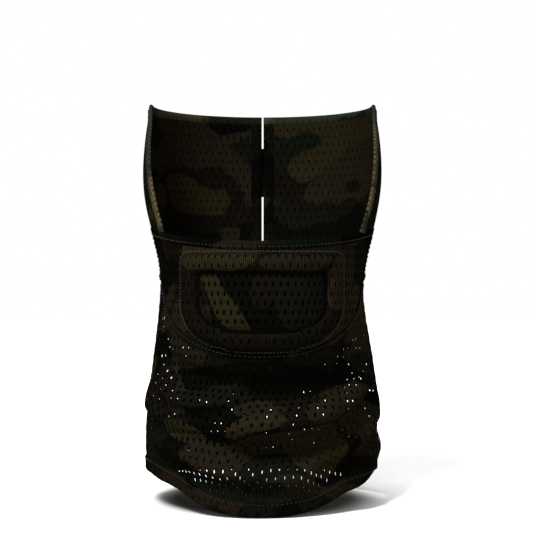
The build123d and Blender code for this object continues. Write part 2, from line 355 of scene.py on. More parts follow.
def resampled(path, step, closed=False):
    """A path whose points are about a step apart."""
    path = np.vstack([path, path[:1]]) if closed else np.asarray(path, float)
    out = evenly(path, max(3, round(run_of(path)[-1] / step) + 1))
    return out[:-1] if closed else out


def thinned(outline):
    """An outline whose points are at least 1.5 mm apart."""
    kept = [outline[0]]
    for p in outline[1:]:
        if np.linalg.norm(p - kept[-1]) >= 1.5:
            kept.append(p)
    return np.array(kept)


def tub(top, low, half, corner, grow=0.0, count=240):
    """Front-view tub: square above, round lower corners, slightly bowed base, grown outwards."""
    top, low, half, corner = top + grow, low - grow, half + grow, corner + grow
    upper = max(TUB_TOP_CORNER + grow, 1.0)
    side_low = low + TUB_BOW
    arc = np.linspace(0, math.pi / 2, 24)
    right = np.array([
        (0.0, top),
        *((half - upper + upper * math.sin(t), top - upper + upper * math.cos(t)) for t in arc),
        *((half - corner + corner * math.cos(t), side_low + corner - corner * math.sin(t)) for t in arc),
        *((x, low + TUB_BOW * (x / half) ** 2) for x in np.linspace(half - corner, 0, 14)[1:]),
    ])
    return evenly(np.vstack([right, mirrored(right)[1:]]), count + 1)[:-1]


def tub_on_cloth(shape, grow):
    outline = tub(*shape, grow=grow)
    return np.stack([u_at_front(outline[:, 0], outline[:, 1]), outline[:, 1]], -1)


# ---- mesh makers
def new_object(name, points, faces, material):
    mesh = bpy.data.meshes.new(name)
    mesh.from_pydata([tuple(p) for p in points], [], [tuple(f) for f in faces])
    mesh.validate()
    mesh.polygons.foreach_set("use_smooth", [True] * len(mesh.polygons))
    mesh.materials.append(material)
    piece = bpy.data.objects.new(name, mesh)
    bpy.context.scene.collection.objects.link(piece)
    return piece


def set_uvs(piece, flat, bake):
    """Writes the Cloth layer, in metres, and the OFBake layer, whose places are shares of the whole."""
    mesh = piece.data
    corner = np.empty(len(mesh.loops), int)
    mesh.loops.foreach_get("vertex_index", corner)
    for name, places in (("Cloth", flat * MM), ("OFBake", bake * 0.98 + 0.01)):
        layer = mesh.uv_layers.new(name=name)
        layer.data.foreach_set("uv", places[corner].astype(np.float32).ravel())
    mesh.uv_layers.active = mesh.uv_layers["Cloth"]


def grid(along, round_it):
    """A place for each point of a row of rings."""
    return np.stack(np.broadcast_arrays(along[:, None], round_it[None, :]), -1).reshape(-1, 2)


def skin(rings, sides, closed=False, flip=False):
    """Faces between rings of points, and one over each end unless the rings close on themselves."""
    faces = []
    for r in range(rings if closed else rings - 1):
        here, there = r * sides, (r + 1) % rings * sides
        for s in range(sides):
            n = (s + 1) % sides
            a, b, c, d = here + s, here + n, there + n, there + s
            faces.append((a, d, c, b) if flip else (a, b, c, d))
    if not closed:
        first, last = tuple(range(sides)), tuple(range((rings - 1) * sides, rings * sides))
        faces += [first, last[::-1]] if flip else [first[::-1], last]
    return faces


# Half way round a cell, from its centre, in quarters of its width and halves of its height.
HALF_BORDER = np.array([(2, 0), (2, 1), (1, 1), (0, 1), (-1, 1), (-2, 1)])


def eyelet_tiles(outline, hole_outlines, holed, opening):
    """A flat region as brick-laid cells: (points, ring share of thickness, faces)."""
    low, high = outline.min(0), outline.max(0)
    rows = np.arange(math.floor(low[1] / ROW) - 1, math.ceil(high[1] / ROW) + 2)
    columns = np.arange(math.floor(low[0] / PITCH) - 2, math.ceil(high[0] / PITCH) + 3)
    j, i = (g.ravel() for g in np.meshgrid(rows, columns, indexing="ij"))
    quarter = 4 * i + 2 * (j % 2)
    centre = np.stack([quarter * PITCH / 4, j * ROW], -1)

    def inside(points):
        gap, near = nearest_on(outline, points)
        for hole in hole_outlines:
            other, other_near = nearest_on(hole, points)
            swap = -other < gap
            gap = np.where(swap, -other, gap)
            near = np.where(swap[:, None], other_near, near)
        return gap, near

    gap, _ = inside(centre)
    used = gap > -4.2
    j, quarter, centre, gap = j[used], quarter[used], centre[used], gap[used]
    open_cell = (gap > UNPIERCED) & holed
    border = np.vstack([HALF_BORDER, -HALF_BORDER])
    keys = np.stack([quarter[:, None] + border[:, 0], 2 * j[:, None] + border[:, 1]], -1).reshape(-1, 2)
    unique, index = np.unique(keys, axis=0, return_inverse=True)
    index = index.reshape(-1, 12)
    edge = unique * (PITCH / 4, ROW / 2)
    edge_gap, edge_near = inside(edge)
    out = edge_gap < 0
    keep_cell = ~out[index].all(1)
    index, centre, open_cell = index[keep_cell], centre[keep_cell], open_cell[keep_cell]
    edge = np.where(out[:, None], edge_near, edge)

    angle = np.arange(12) * math.pi / 6
    count = len(centre)
    size = rng.uniform(0.86, 1.1, (count, 2)) * EYELET * (opening(centre) if opening else 1)
    lean = rng.uniform(-0.10, 0.10, count)
    rim = np.stack([np.cos(angle) * size[:, :1], np.sin(angle) * size[:, 1:]], -1)
    rim[..., 0] += rim[..., 1] * lean[:, None]
    rim += centre[:, None, :] + rng.uniform(-0.22, 0.22, (count, 1, 2))
    shut = edge[index] * 0.25 + edge[index].mean(1, keepdims=True) * 0.75
    rim = np.where(open_cell[:, None, None], rim, shut)
    middle = rim * 0.5 + edge[index] * 0.5
    points = [edge, middle.reshape(-1, 2), rim.reshape(-1, 2)]
    base_mid, base_rim = len(edge), len(edge) + count * 12
    thick = [np.full(len(edge), 0.92), np.full(count * 12, 1.0), np.where(np.repeat(open_cell, 12), 0.0, 1.0)]
    faces = []
    for c in range(count):
        b, m, r = index[c], base_mid + 12 * c, base_rim + 12 * c
        for k in range(12):
            n = (k + 1) % 12
            faces.append((b[k], b[n], m + n, m + k))
            faces.append((m + k, m + n, r + n, r + k))
        if not open_cell[c]:
            faces.append(tuple(r + k for k in range(12)))
    return np.vstack(points), np.concatenate(thick), faces


def eyelet_cloth(name, surface, outline, depth, material, hole_outlines=(), holed=True, opening=None):
    """A sheet of eyelet cloth: two faces that meet at every eyelet's rim, closed along its edges.

    holed=False leaves the eyelets out. opening gives their sizes, across and up, from their centres.
    """
    outline = thinned(outline)
    flat, thick, faces = eyelet_tiles(outline, [thinned(h) for h in hole_outlines], holed, opening)
    _, first, same = np.unique(np.round(flat, 3), axis=0, return_index=True, return_inverse=True)
    same = same.ravel()
    flat, thick = flat[first], thick[first]
    tidy = []
    for face in faces:
        ring = [same[k] for k in face]
        ring = [k for n, k in enumerate(ring) if k != ring[n - 1]]
        if len(set(ring)) == len(ring) and len(ring) > 2:
            tidy.append(ring)
    rim = thick == 0
    count = len(flat)
    back_of = np.where(rim, np.arange(count), count + np.cumsum(~rim) - 1)
    outer = surface.point(flat[:, 0], flat[:, 1], depth + thick * YARN / 2)
    inner = surface.point(flat[:, 0], flat[:, 1], depth - thick * YARN / 2)[~rim]
    uses = {(ring[n - 1], k): 1 for ring in tidy for n, k in enumerate(ring)}
    bare = [pair for pair in uses if pair[::-1] not in uses and not rim[list(pair)].all()]
    walls = [(b, a, back_of[a], back_of[b]) for a, b in bare]
    backs = [[back_of[k] for k in reversed(ring)] for ring in tidy]
    piece = new_object(name, np.vstack([outer, inner]), [*tidy, *backs, *walls], material)
    share = (flat - flat.min(0)) / np.ptp(flat, axis=0) * (0.49, 1)
    set_uvs(piece, np.vstack([flat, flat[~rim]]), np.vstack([share, share[~rim] + (0.51, 0)]))
    piece["flat_size"] = [float(s) * MM for s in np.ptp(outline, axis=0)]
    piece["flat_area"] = float(area_of(outline) - sum(area_of(h) for h in hole_outlines)) * MM * MM
    return piece


# Cross-section of a folded strip: share of its half width, and of its thickness.
FOLDED = [(-1, 0.5), (-0.95, 0.82), (-0.75, 0.98), (-0.2, 0.94), (0.3, 0.95), (0.8, 1.0), (0.96, 0.84)]
FOLDED += [(1, 0.5), (0.95, 0.16), (0.7, 0.0), (0, 0.02), (-0.7, 0.0), (-0.95, 0.16)]


def strip(
    name, surface, path, width, inner, outer, material,
    pucker=0.12, step=2.2, closed=False, lift=None, upright=False,
):
    """A folded hem, seam or tape along a flat path, between two depths.

    lift gives extra depth at each u. upright measures the width straight up instead of square to the path.
    """
    path = resampled(path, step, closed)
    across = np.tile((0.0, -1.0), (len(path), 1)) if upright else right_of(path, closed)
    shape = np.array(FOLDED)
    flat = path[:, None, :] + across[:, None, :] * (shape[:, 0] * width / 2)[None, :, None]
    place = np.arange(len(path))
    ripple = pucker * (np.sin(place * 1.9) + 0.6 * np.sin(place * 0.83 + 1))
    depth = inner + (outer - inner) * shape[None, :, 1] + ripple[:, None] * (shape[None, :, 1] > 0.5)
    if lift:
        depth = depth + lift(path[:, 0])[:, None]
    points = surface.point(flat[..., 0], flat[..., 1], depth).reshape(-1, 3)
    piece = new_object(name, points, skin(len(path), len(shape), closed, flip=True), material)
    run = run_of(path)
    set_uvs(piece, flat.reshape(-1, 2), grid(run / run[-1], np.linspace(0, 1, len(shape))))
    return piece


def stitches(name, surface, paths, depth, material, length=3.2, gap=1.4, zigzag=0.0, closed=False):
    """Rows of thread along flat paths: each stitch is a small bowed capsule that dips into the cloth."""
    radius, sides, rings = 0.26, 6, 5
    capsule = skin(rings, sides)
    lift = radius * np.array([-0.6, 0.5, 0.8, 0.5, -0.6])
    girth = radius * MM * np.array([0.45, 0.95, 1, 0.95, 0.45])
    angle = 2 * math.pi * np.arange(sides)[:, None] / sides
    points, faces = [], []
    for path in paths:
        knots = resampled(path, length * 0.55 if zigzag else length, closed)
        if closed:
            knots = np.vstack([knots, knots[:1]])
        if zigzag:
            knots = knots + right_of(knots) * (zigzag * (np.arange(len(knots)) % 2 - 0.5))[:, None]
        for a, b in zip(knots[:-1], knots[1:]):
            trim = 0.5 * gap / max(np.linalg.norm(b - a), 1e-6)
            at = np.linspace(trim, 1 - trim, rings)
            flat = a + (b - a) * at[:, None]
            centre = surface.point(flat[:, 0], flat[:, 1], depth + lift)
            out = surface.point(flat[:, 0], flat[:, 1], depth + lift + 1) - centre
            out /= np.linalg.norm(out, axis=1, keepdims=True)
            along = centre[-1] - centre[0]
            along /= np.linalg.norm(along)
            side = np.cross(out, along)
            faces += [[len(points) + k for k in face] for face in capsule]
            away = np.cos(angle) * side[:, None] + np.sin(angle) * out[:, None]
            points.extend((centre[:, None] + girth[:, None, None] * away).reshape(-1, 3))
    return new_object(name, points, faces, material)


# ---- materials
class Nodes:
    """Short names for building a node material."""

    def __init__(self, name):
        self.material = bpy.data.materials.new(name)
        self.material.use_nodes = True
        self.tree = self.material.node_tree
        self.shader = self.tree.nodes["Principled BSDF"]

    def value(self, source, socket):
        if isinstance(source, (int, float, tuple, list)):
            socket.default_value = source
        else:
            self.tree.links.new(source, socket)

    def add(self, kind, output, inputs=(), **settings):
        """One output of a new node, whose inputs are given as (socket, value or link) pairs."""
        node = self.tree.nodes.new("ShaderNode" + kind)
        for name, setting in settings.items():
            setattr(node, name, setting)
        for socket, source in inputs:
            self.value(source, node.inputs[socket])
        return node.outputs[output]

    def math(self, operation, *sources):
        return self.add("Math", 0, enumerate(sources), operation=operation)

    def vector(self, operation, *sources):
        sockets = (0, "Scale") if operation == "SCALE" else (0, 1)
        output = "Value" if operation in ("LENGTH", "DOT_PRODUCT") else "Vector"
        return self.add("VectorMath", output, zip(sockets, sources), operation=operation)

    def cloth_uv(self):
        return self.add("UVMap", 0, uv_map="Cloth")

    def object_place(self):
        return self.add("TexCoord", "Object")

    def split(self, vector):
        return [self.add("SeparateXYZ", axis, [(0, vector)]) for axis in "XY"]

    def noise(self, vector, scale, detail=2.0, rough=0.5, colour=False):
        inputs = ("Vector", vector), ("Scale", scale), ("Detail", detail), ("Roughness", rough)
        return self.add("TexNoise", "Color" if colour else "Fac", inputs)

    def mix(self, share, a, b, blend="MIX"):
        return self.add("Mix", 2, ((0, share), (6, a), (7, b)), data_type="RGBA", blend_type=blend)

    def step(self, value, low, high):
        inputs = ("Value", value), ("From Min", low), ("From Max", high)
        return self.add("MapRange", "Result", inputs, interpolation_type="SMOOTHSTEP")

    def bump(self, height, strength, distance):
        inputs = ("Height", height), ("Strength", strength), ("Distance", distance)
        self.value(self.add("Bump", 0, inputs), self.shader.inputs["Normal"])

    def finish(self, colour, roughness, specular=0.3):
        self.value(colour, self.shader.inputs["Base Color"])
        self.value(roughness, self.shader.inputs["Roughness"])
        self.shader.inputs["Specular IOR Level"].default_value = specular
        return self.material


# The print's colours, linear.
BLACK = (0.0008, 0.0008, 0.0006, 1)
DARK = (0.0017, 0.0014, 0.0009, 1)
BROWN = (0.0037, 0.0029, 0.0017, 1)
GREEN = (0.0015, 0.0018, 0.0011, 1)
TAN = (0.0047, 0.0038, 0.0017, 1)

# Patches of the print: seed, scale, how much of the noise stays bare, colour.
NOISE_PATCHES = [(0.0, 15, 0.50, BROWN), (3.1, 13, 0.53, GREEN), (5.3, 16, 0.56, BLACK)]
TAN_PATCHES = [(7.7, 14, 0.60, TAN)]


def camo(n, uv, blobs, offset, tan):
    """Woodland print: large irregular patches with crisp edges. blobs are listed patches."""
    shift = n.vector("ADD", uv, (offset[0], offset[1], 0))
    warp = n.vector("SUBTRACT", n.noise(shift, 26, 3, 0.55, colour=True), (0.5, 0.5, 0.5))
    bent = n.vector("ADD", shift, n.vector("SCALE", warp, 0.030))
    wide = n.vector("MULTIPLY", bent, (0.75, 1.25, 1))
    colour = DARK
    for seed, scale, low, tone in NOISE_PATCHES + (TAN_PATCHES if tan else []):
        place = n.vector("ADD", wide, (seed, seed * 0.7, 0))
        patch = n.step(n.noise(place, scale, 1.5, 0.45), low, low + 0.012)
        colour = n.mix(patch, colour, tone)
    flat_bent = n.vector("ADD", uv, n.vector("SCALE", warp, 0.016))
    for (x, z), (across, up), tilt, tone in blobs:
        away = n.vector("SUBTRACT", flat_bent, (float(u_at_front(x, z)) * MM, z * MM, 0))
        c, s = math.cos(math.radians(tilt)), math.sin(math.radians(tilt))
        parts = []
        for way, size in (((c, s, 0), across), ((-s, c, 0), up)):
            reach = n.math("ABSOLUTE", n.vector("DOT_PRODUCT", away, way))
            parts.append(n.math("POWER", n.math("DIVIDE", reach, size * MM), 2.6))
        colour = n.mix(n.math("SUBTRACT", 1.0, n.step(n.math("ADD", *parts), 0.9, 1.08)), colour, tone)
    return colour


def knit(n, uv, rib=0.9):
    """Height of the knit: fine vertical ribs broken into loops, in 0 to 1."""
    x, y = n.split(uv)
    rib_phase = n.math("MULTIPLY", x, 2 * math.pi / (rib * MM))
    loop_phase = n.math("MULTIPLY", y, 2 * math.pi / (rib * 0.8 * MM))
    rows = n.math("ABSOLUTE", n.math("SINE", n.math("MULTIPLY", rib_phase, 0.5)))
    loops = n.math("MULTIPLY", n.math("SINE", n.math("ADD", loop_phase, rib_phase)), 0.22)
    return n.math("ADD", rows, loops)


def eyelet_slot_shade(n, uv):
    """1 where an eyelet of the lower layers shows as a slot of painted shade, 0 elsewhere."""
    x, y = n.split(uv)
    row = n.math("DIVIDE", y, ROW * MM)
    odd = n.math("MODULO", n.math("ABSOLUTE", n.math("ROUND", row)), 2)
    along = n.math("SUBTRACT", n.math("DIVIDE", x, PITCH * MM), n.math("MULTIPLY", odd, 0.5))
    du = n.math("MULTIPLY", n.math("SUBTRACT", along, n.math("ROUND", along)), PITCH / EYELET[0])
    dv = n.math("MULTIPLY", n.math("SUBTRACT", row, n.math("ROUND", row)), ROW / EYELET[1])
    far = n.math("ADD", n.math("MULTIPLY", du, du), n.math("MULTIPLY", dv, dv))
    return n.math("SUBTRACT", 1.0, n.step(far, 0.55, 1.25))


def printed_cloth(
    name, blobs=(), offset=(0, 0), slot_shade=0.0, tone=None, gain=1.0, rib=0.9, knit_bump=0.5, tan=False
):
    """Camo knit, or one tone, with shade painted into the knit's grooves. The slot strength paints shade where
    eyelets of a closed layer would show, seen through them into the layers below.
    """
    n = Nodes(name)
    uv = n.cloth_uv()
    colour = camo(n, uv, blobs, offset, tan) if tone is None else tone
    uneven = n.math("ADD", n.math("MULTIPLY", n.noise(uv, 420, 3, 0.6), 1.3), 0.35)
    height = knit(n, uv, rib)
    # Painted shade: the colour goes darker in the knit's grooves and stays lighter on its ribs.
    knit_groove_shade = n.math("ADD", n.math("MULTIPLY", height, 1.5), 0.12)
    shade = n.math("MULTIPLY", n.math("MULTIPLY", uneven, knit_groove_shade), gain)
    # Painted shade in the eyelets of a closed layer: the eyelets are real, their darkness stands for the shade
    # in the layers beneath.
    if slot_shade:
        dark = eyelet_slot_shade(n, uv)
        shade = n.math("MULTIPLY", shade, n.math("SUBTRACT", 1.0, n.math("MULTIPLY", dark, slot_shade)))
        height = n.math("SUBTRACT", height, n.math("MULTIPLY", dark, 2.0 * slot_shade))
    n.bump(height, knit_bump, 0.0003)
    return n.finish(n.mix(1.0, colour, shade, blend="MULTIPLY"), 0.8, specular=0.0)


# Patches listed in front view: centre (x, z), half sizes, tilt, colour.
PANEL_BLOBS = [
    ((40, -30), (34, 9), 0, BROWN),
    ((58, -60), (12, 26), 8, BROWN),
    ((-55, -78), (10, 14), 40, BROWN),
    ((-31, -35), (31, 12), -4, TAN),
    ((-66, -44), (9, 22), 0, BLACK),
    ((63, -64), (13, 7), 20, TAN),
    ((-67, -76), (5, 7), 0, TAN),
]
FRAME_BLOBS = [
    ((0, -68), (80, 44), 0, DARK),
    ((47, -56), (9, 18), 0, BROWN),
    ((22, -41), (26, 6), 0, BROWN),
    ((-31, -35), (31, 12), -4, TAN),
]
WINDOW_BLOBS = [
    ((10, -66), (50, 30), 0, BLACK),
    ((28, -66), (22, 22), 0, GREEN),
    ((4, -56), (9, 16), -30, DARK),
    ((-27, -66), (31, 7.5), -50, TAN),
]
DRAPE_BLOBS = [
    # Black under the chin: painted shadow where the drape tucks in under the face panel.
    ((0, -122), (60, 14), 0, BLACK),
    ((-34, -136), (30, 9), 12, GREEN),
    ((46, -150), (26, 12), 14, BROWN),
    ((-12, -180), (48, 10), 4, BROWN),
    ((-20, -206), (60, 10), 0, GREEN),
    ((36, -190), (22, 22), 20, TAN),
    ((36, -178), (14, 6), 20, BROWN),
    ((-51, -167), (19, 8), -8, TAN),
    ((-5, -158), (17, 7), 8, TAN),
    ((70, -164), (10, 11), 0, TAN),
    ((58, -184), (8, 10), 0, BLACK),
    ((-75, -120), (6, 14), 0, TAN),
    ((70, -78), (13, 9), 20, TAN),
]
BAND_BLOBS = [((-73, 0), (10, 17), 0, TAN), ((75, 0), (10, 11), 0, TAN), ((76, 40), (12, 25), 0, BROWN)]

FRONT, EAR = (0.31, 0.12), (0.52, 0.63)  # where these pieces were cut from the print
face_cloth = printed_cloth("face_cloth", PANEL_BLOBS, FRONT)
window_cloth = printed_cloth("window_cloth", WINDOW_BLOBS, FRONT)
drape_cloth = printed_cloth("drape_cloth", DRAPE_BLOBS, (0.11, 0.42))
back_cloth = printed_cloth("back_cloth", (), (0.77, 0.05), tan=True)
ear_cloth = printed_cloth("ear_cloth", (), EAR, tan=True)
hem_cloth = printed_cloth("hem_cloth", (), FRONT, slot_shade=0.7, gain=0.8)
# gain 4.2 lightens the ear edge bands all over: partly their own olive tone, partly painted highlight.
band_cloth = printed_cloth("band_cloth", BAND_BLOBS, EAR, slot_shade=0.5, gain=4.2)
frame_cloth = printed_cloth("frame_cloth", FRAME_BLOBS, FRONT, slot_shade=0.92, rib=1.3, knit_bump=0.8)
lining_cloth = printed_cloth("lining_cloth", tone=BLACK, rib=0.7)
ear_lining = printed_cloth("ear_lining", (), EAR, slot_shade=0.8, tan=True)
strap_cloth = printed_cloth("strap_cloth", (), (0.2, 0.9), slot_shade=0.7, tan=True)
foam_grain = printed_cloth("foam_grain", tone=(0.02, 0.02, 0.02, 1), rib=0.6)


def fibre(name, dark, light, roughness=0.55, grain=2600, strength=0.5, relief=0.0001):
    """A thread's or a tape's material."""
    n = Nodes(name)
    weave = n.noise(n.object_place(), grain, 2, 0.6)
    n.bump(weave, strength, relief)
    return n.finish(n.mix(weave, dark, light), roughness, specular=0.1)


TAPE_GRAIN = (1800, 0.4, 0.0002)
thread = fibre("thread_strand", (0.005, 0.0047, 0.0038, 1), (0.021, 0.020, 0.016, 1))
dark_thread = fibre("dark_strand", (0.002, 0.002, 0.0018, 1), (0.007, 0.007, 0.006, 1))
loop_pile = fibre("loop_pile", BLACK, (0.006, 0.006, 0.005, 1), 0.9, *TAPE_GRAIN)
hook_nylon = fibre("hook_nylon", BLACK, (0.005, 0.005, 0.005, 1), 0.45, *TAPE_GRAIN)


# ---- what a piece stands for
def stand(nodes, body="mask"):
    """Pieces ride on a body, and the node's own part, where one is named, is hidden."""
    for node, pieces in nodes.items():
        for piece in pieces:
            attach(piece, body)
        if node:
            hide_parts(node)


# ---- lines of the pattern
plain, eased, puffed = Plain(), Plain(0.35), Plain(0.3, bulge=2.2)

nose_line = side_curve([NOSE_REAR, NOSE_FRONT])  # rear to front centre
lower_line = side_curve(PANEL_LOWER)  # rear corner to front centre
nape_line = side_curve([PANEL_REAR_LOW, NAPE_END])  # rear corner to the back centre
hem_line = side_curve(HEM_LINE)  # back centre to front centre
ear_front = side_curve(EAR_FRONT)
ear_front = ear_front[ear_front[:, 1] > NOSE_REAR[1] - 5]


def moved(line, by):
    """A line moved down."""
    return line - (0, by)


def both_sides(rear_to_front):
    """A line from the left rear to the front centre, joined to its mirror image."""
    return np.vstack([rear_to_front, mirrored(rear_to_front)[1:]])


def round_back(left_to_back):
    """A line from the wearer's left to the back centre, carried on to their right."""
    return np.vstack([left_to_back, mirrored(left_to_back)[1:] + (2 * HALF_ROUND, 0)])


# ---- face panel
def panel_region():
    """The face panel, as far as it runs under its seam and its nose hem."""
    inset = SEAM - OVERLAP
    low = shifted(both_sides(lower_line), inset)
    rear = u_at_side(PANEL_REAR_LOW[0] - inset, -40)
    top = both_sides(moved(nose_line, NOSE_HEM - OVERLAP))
    return np.vstack([top[np.abs(top[:, 0]) <= rear][::-1], low[np.abs(low[:, 0]) <= rear]])


panel_shape = panel_region()
frame_hole = tub_on_cloth(FRAME, -OVERLAP)
face_panel = eyelet_cloth("face_panel_mesh", eased, panel_shape, OUTER, face_cloth, [frame_hole])
face_liner = eyelet_cloth("face_liner_knit", eased, panel_shape, LINER, lining_cloth, holed=False)
window_mesh = eyelet_cloth("window_mesh_cloth", puffed, tub_on_cloth(WINDOW, OVERLAP), OUTER, window_cloth)

nose_path = both_sides(moved(nose_line, NOSE_HEM / 2))
nose_hem = strip("nose_hem_fold", eased, nose_path, NOSE_HEM, 0, HEM, hem_cloth)
nose_row = both_sides(moved(nose_line, HEM_ROW))
nose_stitching = stitches("nose_hem_thread", eased, [nose_row], ON_HEM, dark_thread)

rear_u = float(u_at_side(PANEL_REAR_LOW[0] - SEAM / 2, -40))
rear_edge = np.linspace((rear_u, NOSE_REAR[1] - NOSE_HEM), (rear_u, PANEL_REAR_LOW[1] + 4), 12)
seam_path = shifted(lower_line, SEAM / 2)
seam_path = seam_path[seam_path[:, 0] < rear_u - 3]
seam_path = both_sides(np.vstack([rear_edge, seam_path]))
panel_seam = strip("panel_seam_fold", eased, seam_path, SEAM, 0, HEM, hem_cloth)
seam_thread = stitches("panel_seam_thread", eased, [seam_path], ON_HEM, dark_thread)

# The padded frame: a ring whose section bulges between the frame's outline and the window's.
PUFF = [(0.0, 0.9), (0.015, 2.6), (0.05, 4.2), (0.12, 5.5), (0.25, 6.25), (0.45, 6.55), (0.65, 6.45)]
PUFF += [(0.82, 6.1), (0.93, 5.2), (0.985, 3.6), (1.0, 1.0), (0.75, 0.85), (0.5, 0.85), (0.25, 0.85)]


def puffed_ring(name, profile, material, swell=0.0):
    count = 300
    outer, inner = tub(*FRAME, count=count), tub(*WINDOW, count=count)
    share, depth = np.array(profile).T
    flat = between(outer[:, None, :], inner[:, None, :], share[None, :, None])
    around = np.arange(count) / count * 2 * math.pi
    wave = 0.5 * np.sin(around * 9 + 1) + 0.35 * np.sin(around * 23) + 0.4 * np.sin(around * 4 + 2)
    depth = depth[None, :] + swell * wave[:, None] * np.clip(depth[None, :] - 1.0, 0, 5) / 5
    u = u_at_front(flat[..., 0], flat[..., 1])
    points = plain.point(u, flat[..., 1], depth).reshape(-1, 3)
    ring = len(profile)
    piece = new_object(name, points, skin(count, ring, closed=True), material)
    bake = grid(np.arange(count) / count, np.arange(ring) / ring)
    set_uvs(piece, np.stack([u, flat[..., 1]], -1).reshape(-1, 2), bake)
    return piece


frame_cover = puffed_ring("frame_cover_knit", PUFF, frame_cloth, swell=0.22)
foam_core = [(0.05 + 0.9 * s, 1.0 + (d - 0.85) * 0.86) for s, d in PUFF]
foam_frame = puffed_ring("frame_foam_core", foam_core, foam_grain)
# A black binding round the window's inner edge: partly a real binding, partly a dark strip of painted shade
# where the window sinks under the padded frame.
window_shade_binding_path = tub_on_cloth(WINDOW, -0.7)
frame_binding_and_shade_line = strip(
    "frame_inner_binding_shade_line", plain, window_shade_binding_path, 2.6, 0.9, 2.3, lining_cloth, closed=True, pucker=0.2
)
frame_row = tub_on_cloth(FRAME, 1.9)
frame_stitching = stitches(
    "frame_thread", eased, [frame_row], 1.6, thread, length=3.8, gap=0.6, zigzag=1.7, closed=True
)

# ---- ear panels
top_y = np.linspace(EAR_FRONT[-1][0], 92, 120)
top_y = top_y[top_y < float(back_depth(BAND_TOP)) - 0.5]
band_top = np.stack([u_at_side(top_y, BAND_TOP), np.full_like(top_y, BAND_TOP)], -1)
ear_edge = np.vstack([ear_front, band_top[1:]])
slit_u = float(u_at_front(SLIT_HALF, 30, behind=True))
panel_rear = float(u_at_side(PANEL_REAR_LOW[0], -30))


def ear_region():
    """The left ear panel, as far as it runs under its hems and seams."""
    end = slit_u - (SLIT_HEM - OVERLAP)
    edge = shifted(ear_edge, EDGE_HEM - OVERLAP)
    edge = edge[edge[:, 0] < end]
    nape = nape_line[(nape_line[:, 0] < end) & (nape_line[:, 0] > panel_rear)]
    nose = nose_line[(nose_line[:, 0] > edge[0, 0]) & (nose_line[:, 0] < panel_rear)]
    corner = [(end, edge[-1, 1]), (end, nape[-1, 1])]
    return np.vstack([edge[edge[:, 1] > nose[-1, 1]], corner, np.vstack([nape[::-1], nose]) - (0, OVERLAP)])


ear_shape = ear_region()
hem_center = shifted(ear_edge, EDGE_HEM / 2)
hem_center = hem_center[(hem_center[:, 0] < slit_u) & (hem_center[:, 1] > NOSE_REAR[1] - 4.5)]
hem_center = np.vstack([hem_center, [(slit_u, BAND_TOP - EDGE_HEM / 2)]])
slit_path = np.array([(slit_u - SLIT_HEM / 2, z) for z in np.linspace(BAND_TOP - EDGE_HEM + 1, SLIT_LOW, 50)])
hem_row = shifted(ear_edge, HEM_ROW)
hem_row = hem_row[(hem_row[:, 0] < slit_u - 2) & (hem_row[:, 1] > NOSE_REAR[1] - 4)]
slit_row = slit_path - (1.0, 0)

for side, sign in (("left", 1), ("right", -1)):

    def hand(line):
        return line if sign > 0 else mirrored(line)

    panel = eyelet_cloth(f"{side}_ear_mesh", eased, hand(ear_shape), OUTER, ear_cloth)
    lining = eyelet_cloth(f"{side}_ear_lining", eased, hand(ear_shape), LINING, ear_lining, holed=False)
    edge_hem = strip(f"{side}_ear_edge_fold", eased, hand(hem_center), EDGE_HEM, 0, HEM, band_cloth)
    edge_stitching = stitches(f"{side}_ear_edge_thread", eased, [hand(hem_row)], ON_HEM, dark_thread)
    slit_hem = strip(f"{side}_slit_fold", eased, hand(slit_path), SLIT_HEM, 0, HEM, hem_cloth)
    slit_thread = stitches(f"{side}_slit_thread", eased, [hand(slit_row)], ON_HEM, dark_thread)
    stand({f"{side}_ear_panel": [panel, lining]})
    stand({f"{side}_edge_hem": [edge_hem], f"{side}_slit_hem": [slit_hem]})
    stand({f"{side}_edge_stitching": [edge_stitching, slit_thread]})

nape_path = round_back(moved(nape_line, SEAM / 2))
nape_seam = strip("nape_seam_fold", eased, nape_path, SEAM, 0, HEM, hem_cloth)
nape_thread = stitches("nape_seam_thread", eased, [nape_path], ON_HEM, dark_thread)

# ---- closure
tape_low, tape_high = STRAP_LOW + TAPE_MARGIN, STRAP_HIGH - TAPE_MARGIN
middle = (STRAP_LOW + STRAP_HIGH) / 2


def back_path(x0, x1, z=middle):
    """A level path across the back between two x, as the wearer's left side runs on to the right."""
    x = np.linspace(x0, x1, 40)
    u = u_at_front(np.abs(x), z, behind=True)
    return np.stack([np.where(x >= 0, u, 2 * HALF_ROUND - u), np.full_like(u, z)], -1)


def strap_lift(u):
    """The strap lies on its anchor, then climbs over the tapes before it crosses the slit."""
    root, anchor = (back_path(x, x)[0, 0] for x in (STRAP_ROOT, ANCHOR_END))
    return STRAP_CLIMB * ramp((u - (anchor + 0.75 * (root - anchor))) / (8 + 0.25 * (root - anchor)))


wide = tape_high - tape_low
loop_path, hook_path = back_path(*LOOP_SPAN), back_path(*HOOK_SPAN)
loop_out = DOUBLE + TAPE
hook_in = loop_out + GAP
hook_out = hook_in + TAPE
loop_tape = strip(
    "loop_tape_pile", plain, loop_path, wide, DOUBLE, loop_out, loop_pile, pucker=0.05, step=1.5
)
hook_tape = strip(
    "hook_tape_strip", plain, hook_path, wide, hook_in, hook_out, hook_nylon, pucker=0.0, step=1.5
)
strap = strip(
    "strap_webbing", plain, back_path(ANCHOR_END, STRAP_TIP), STRAP_HIGH - STRAP_LOW, DOUBLE, 2 * DOUBLE,
    strap_cloth, pucker=0.08, step=1.0, lift=strap_lift,
)


